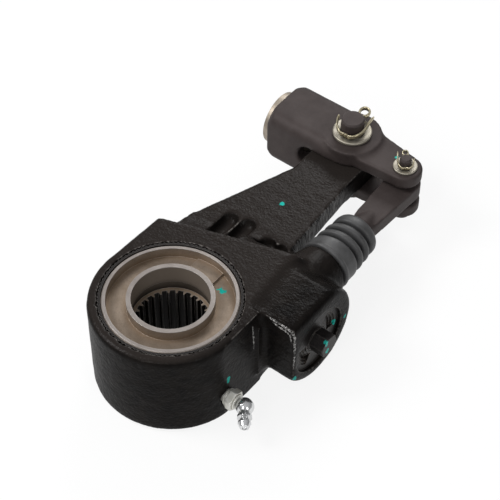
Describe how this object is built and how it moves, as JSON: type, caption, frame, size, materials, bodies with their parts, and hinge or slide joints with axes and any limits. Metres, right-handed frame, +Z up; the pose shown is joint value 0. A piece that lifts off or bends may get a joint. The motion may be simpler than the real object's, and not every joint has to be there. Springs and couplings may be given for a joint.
{
  "type": "brake slack adjuster",
  "caption": "Automatic brake slack adjuster: cast hub and arm, splined worm wheel, worm boss with adjusting hex, forked clevis, link with rubber boot, elbow grease fitting.",
  "frame": {"origin": "on the camshaft spline axis, at the plane of the lower hub face", "axes": "+Z up along the camshaft axis, +Y from the hub along the arm, +X towards the adjusting hex"},
  "size_m": [0.1155, 0.2106, 0.06],
  "materials": {
    "black_cast": "gloss black paint over rough casting",
    "steel": "turned",
    "dark_steel": "blackened",
    "sintered_steel": "machined and pressed faces",
    "phosphate_steel": "matte dark brown grey coating",
    "zinc_steel": "yellow zinc",
    "bronze": "turned",
    "seal_rubber": "matte",
    "boot_rubber": "matte"
  },
  "bodies": {
    "base": {"housing": "black_cast", "arm_bushing": "steel", "gear_retainer": "dark_steel", "gear_seal_upper": "seal_rubber", "gear_seal_lower": "seal_rubber", "lower_retainer": "steel", "worm_bush": "bronze", "thrust_washer": "bronze", "end_cap": "black_cast", "end_cap_seal": "seal_rubber", "rack_bush": "bronze", "boot": "boot_rubber", "fitting_body": "zinc_steel", "fitting_elbow": "zinc_steel", "fitting_ball": "steel"},
    "wheel": {"worm_wheel": "sintered_steel"},
    "worm": {"worm_shaft": "steel", "clutch_hub": "steel", "clutch_springs": "steel", "spring_nut": "steel", "hex_extension": "dark_steel"},
    "pinion": {"drive_pinion": "steel", "wrap_spring": "steel"},
    "rack_bar": {"rack": "steel", "rack_pin": "steel"},
    "yoke": {"clevis": "phosphate_steel", "threaded_bushing": "zinc_steel", "clevis_pin": "phosphate_steel", "clevis_washer": "zinc_steel", "clevis_cotter": "zinc_steel", "link_pin": "phosphate_steel", "link_washer": "zinc_steel", "link_cotter": "zinc_steel"},
    "connecting_link": {"link": "phosphate_steel", "link_bushing": "bronze"}
  },
  "joints": [
    {"name": "wheel_spin", "type": "hinge", "parent": "base", "child": "wheel", "pos_m": [0, 0, 0.0275], "axis": [0, 0, 1], "continuous": true},
    {"name": "worm_spin", "type": "hinge", "parent": "base", "child": "worm", "pos_m": [0, 0.042, 0.026], "axis": [1, 0, 0], "continuous": true},
    {"name": "clevis_swing", "type": "hinge", "parent": "base", "child": "yoke", "pos_m": [0, 0.1524, 0.032], "axis": [0, 0, 1], "range_deg": [-12, 8]},
    {"name": "link_pivot", "type": "hinge", "parent": "yoke", "child": "connecting_link", "pos_m": [0.03595, 0.15052, 0.032], "axis": [0, 0, 1], "range_deg": [-8.5, 12.7]},
    {"name": "rack_slide", "type": "slide", "parent": "base", "child": "rack_bar", "axis": [0, 1, 0], "range_m": [-0.0075, 0.005], "deforming": ["boot"]},
    {"name": "pinion_spin", "type": "hinge", "parent": "base", "child": "pinion", "pos_m": [0, 0.042, 0.026], "axis": [1, 0, 0], "range_deg": [-41, 61.2]}
  ],
  "couplings": [
    {"joint": "worm_spin", "follows": "wheel_spin", "ratio": 24},
    {"joint": "link_pivot", "follows": "clevis_swing", "ratio": -1.05},
    {"joint": "rack_slide", "follows": "clevis_swing", "m_per_rad": 0.0355},
    {"joint": "pinion_spin", "follows": "clevis_swing", "ratio": -5.0714}
  ]
}
